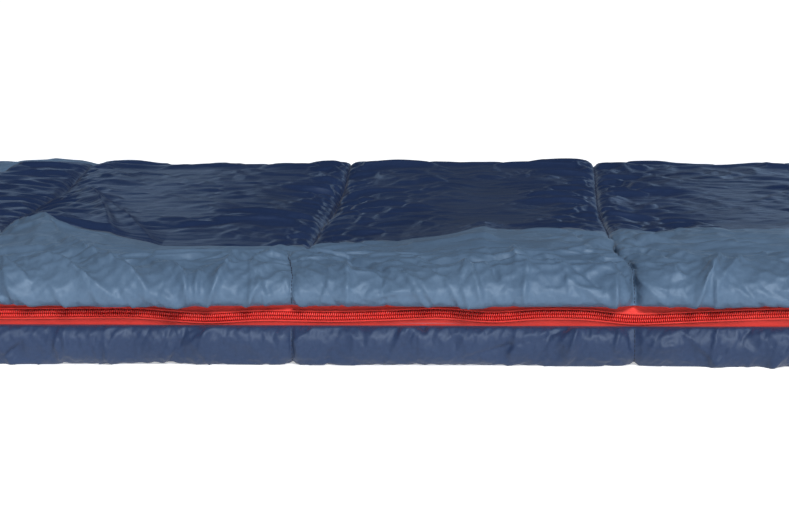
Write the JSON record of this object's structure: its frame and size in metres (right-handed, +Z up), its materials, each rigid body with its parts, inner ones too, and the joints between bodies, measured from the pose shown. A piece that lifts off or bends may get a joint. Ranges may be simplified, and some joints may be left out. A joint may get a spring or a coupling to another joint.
{
  "type": "rectangular sleeping bag",
  "caption": "Quilted rectangular sleeping bag, zipped along one side and the foot, lying flat; it folds open into a blanket.",
  "frame": {"origin": "middle of the bag's underside, on the surface that it lies on", "axes": "+X from the open head end to the zipped foot, +Y from the zipped long side to the fold, +Z up"},
  "size_m": [1.9, 0.75, 0.07],
  "materials": {
    "shell_navy": "satin",
    "shell_slate": "satin",
    "shell_bottom": "satin",
    "lining": "matte",
    "filling": "matte",
    "thread": "matte",
    "zip_tape": "matte",
    "zip_coil": "glossy",
    "zip_metal": "glossy"
  },
  "bodies": {
    "bottom_quilt": {"bottom_shell": "shell_bottom", "bottom_batting": "filling", "bottom_lining": "lining", "bottom_head_binding": "shell_bottom", "fold_seam": "thread", "bottom_seam_1": "thread", "bottom_seam_2": "thread", "bottom_seam_3": "thread", "bottom_seam_4": "thread", "bottom_seam_5": "thread", "bottom_seam_6": "thread", "bottom_seam_7": "thread", "bottom_seam_8": "thread", "zip_tape_lower": "zip_tape", "zip_coil_lower": "zip_coil", "zip_stop_head_lower": "zip_metal", "zip_stop_foot_lower": "zip_metal"},
    "top_quilt": {"top_centre_panel": "shell_navy", "top_near_band": "shell_slate", "top_far_band": "shell_slate", "top_head_panel": "shell_slate", "top_batting": "filling", "top_lining": "lining", "top_head_binding": "shell_navy", "top_seam_1": "thread", "top_seam_2": "thread", "top_seam_3": "thread", "top_seam_4": "thread", "top_seam_5": "thread", "top_seam_6": "thread", "top_seam_7": "thread", "top_seam_8": "thread", "zip_tape_upper": "zip_tape", "zip_coil_upper": "zip_coil", "zip_stop_head_upper": "zip_metal", "zip_stop_foot_upper": "zip_metal"},
    "side_slider": {"side_slider": "zip_metal"},
    "side_pull": {"side_pull": "zip_metal"},
    "foot_slider": {"foot_slider": "zip_metal"},
    "foot_pull": {"foot_pull": "zip_metal"}
  },
  "joints": [
    {"name": "open_out", "type": "hinge", "parent": "bottom_quilt", "child": "top_quilt", "pos_m": [0, 0.3754, 0.035], "axis": [-1, 0, 0], "range_deg": [0, 180]},
    {"name": "side_zip", "type": "slide", "parent": "bottom_quilt", "child": "side_slider", "axis": [1, 0, 0], "range_m": [0, 1.79]},
    {"name": "side_pull_swing", "type": "hinge", "parent": "side_slider", "child": "side_pull", "pos_m": [-0.922, -0.3716, 0.033], "axis": [0, 0, -1], "range_deg": [0, 170]},
    {"name": "foot_zip", "type": "slide", "parent": "bottom_quilt", "child": "foot_slider", "axis": [0, -1, 0], "range_m": [0, 0.63]},
    {"name": "foot_pull_swing", "type": "hinge", "parent": "foot_slider", "child": "foot_pull", "pos_m": [0.9466, 0.338, 0.033], "axis": [0, 0, 1], "range_deg": [0, 170]}
  ]
}
